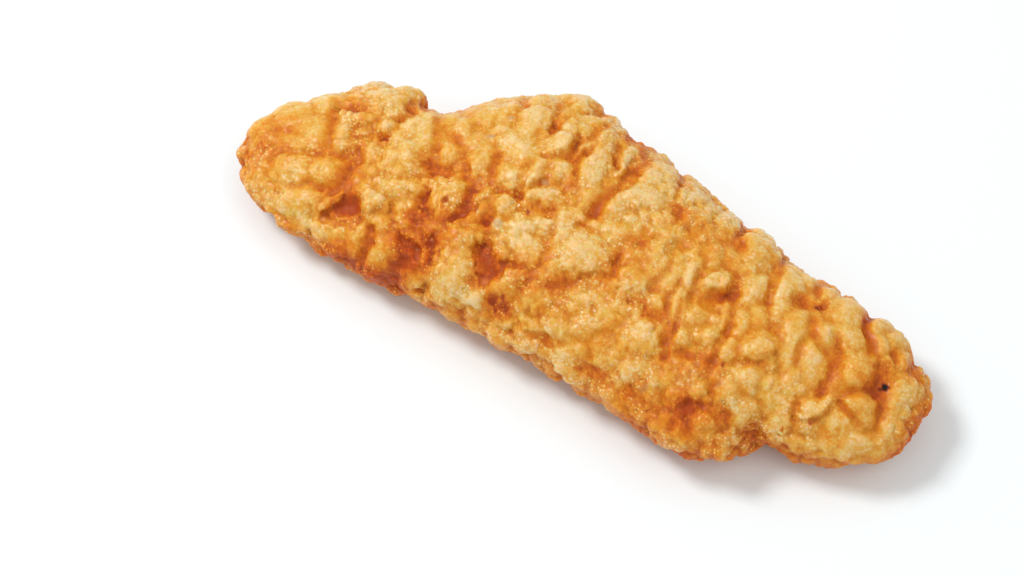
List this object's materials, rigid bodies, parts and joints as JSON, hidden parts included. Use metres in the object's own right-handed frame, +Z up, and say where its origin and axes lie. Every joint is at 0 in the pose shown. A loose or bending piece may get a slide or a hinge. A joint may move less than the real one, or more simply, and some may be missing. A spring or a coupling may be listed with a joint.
{
  "type": "chicken tender",
  "caption": "Breaded fried chicken tender: a plump, slightly bent strip with a craggy golden crust, lying on its flatter side.",
  "frame": {"origin": "on the surface it lies on, under the middle of its bounding box", "axes": "+X along the tender towards its narrower end, +Z up out of its shown side"},
  "size_m": [0.1264, 0.0554, 0.022],
  "materials": {
    "crust": "golden fried crust, craggy, slightly oily"
  },
  "bodies": {
    "root": {"tender": "crust"}
  },
  "joints": []
}
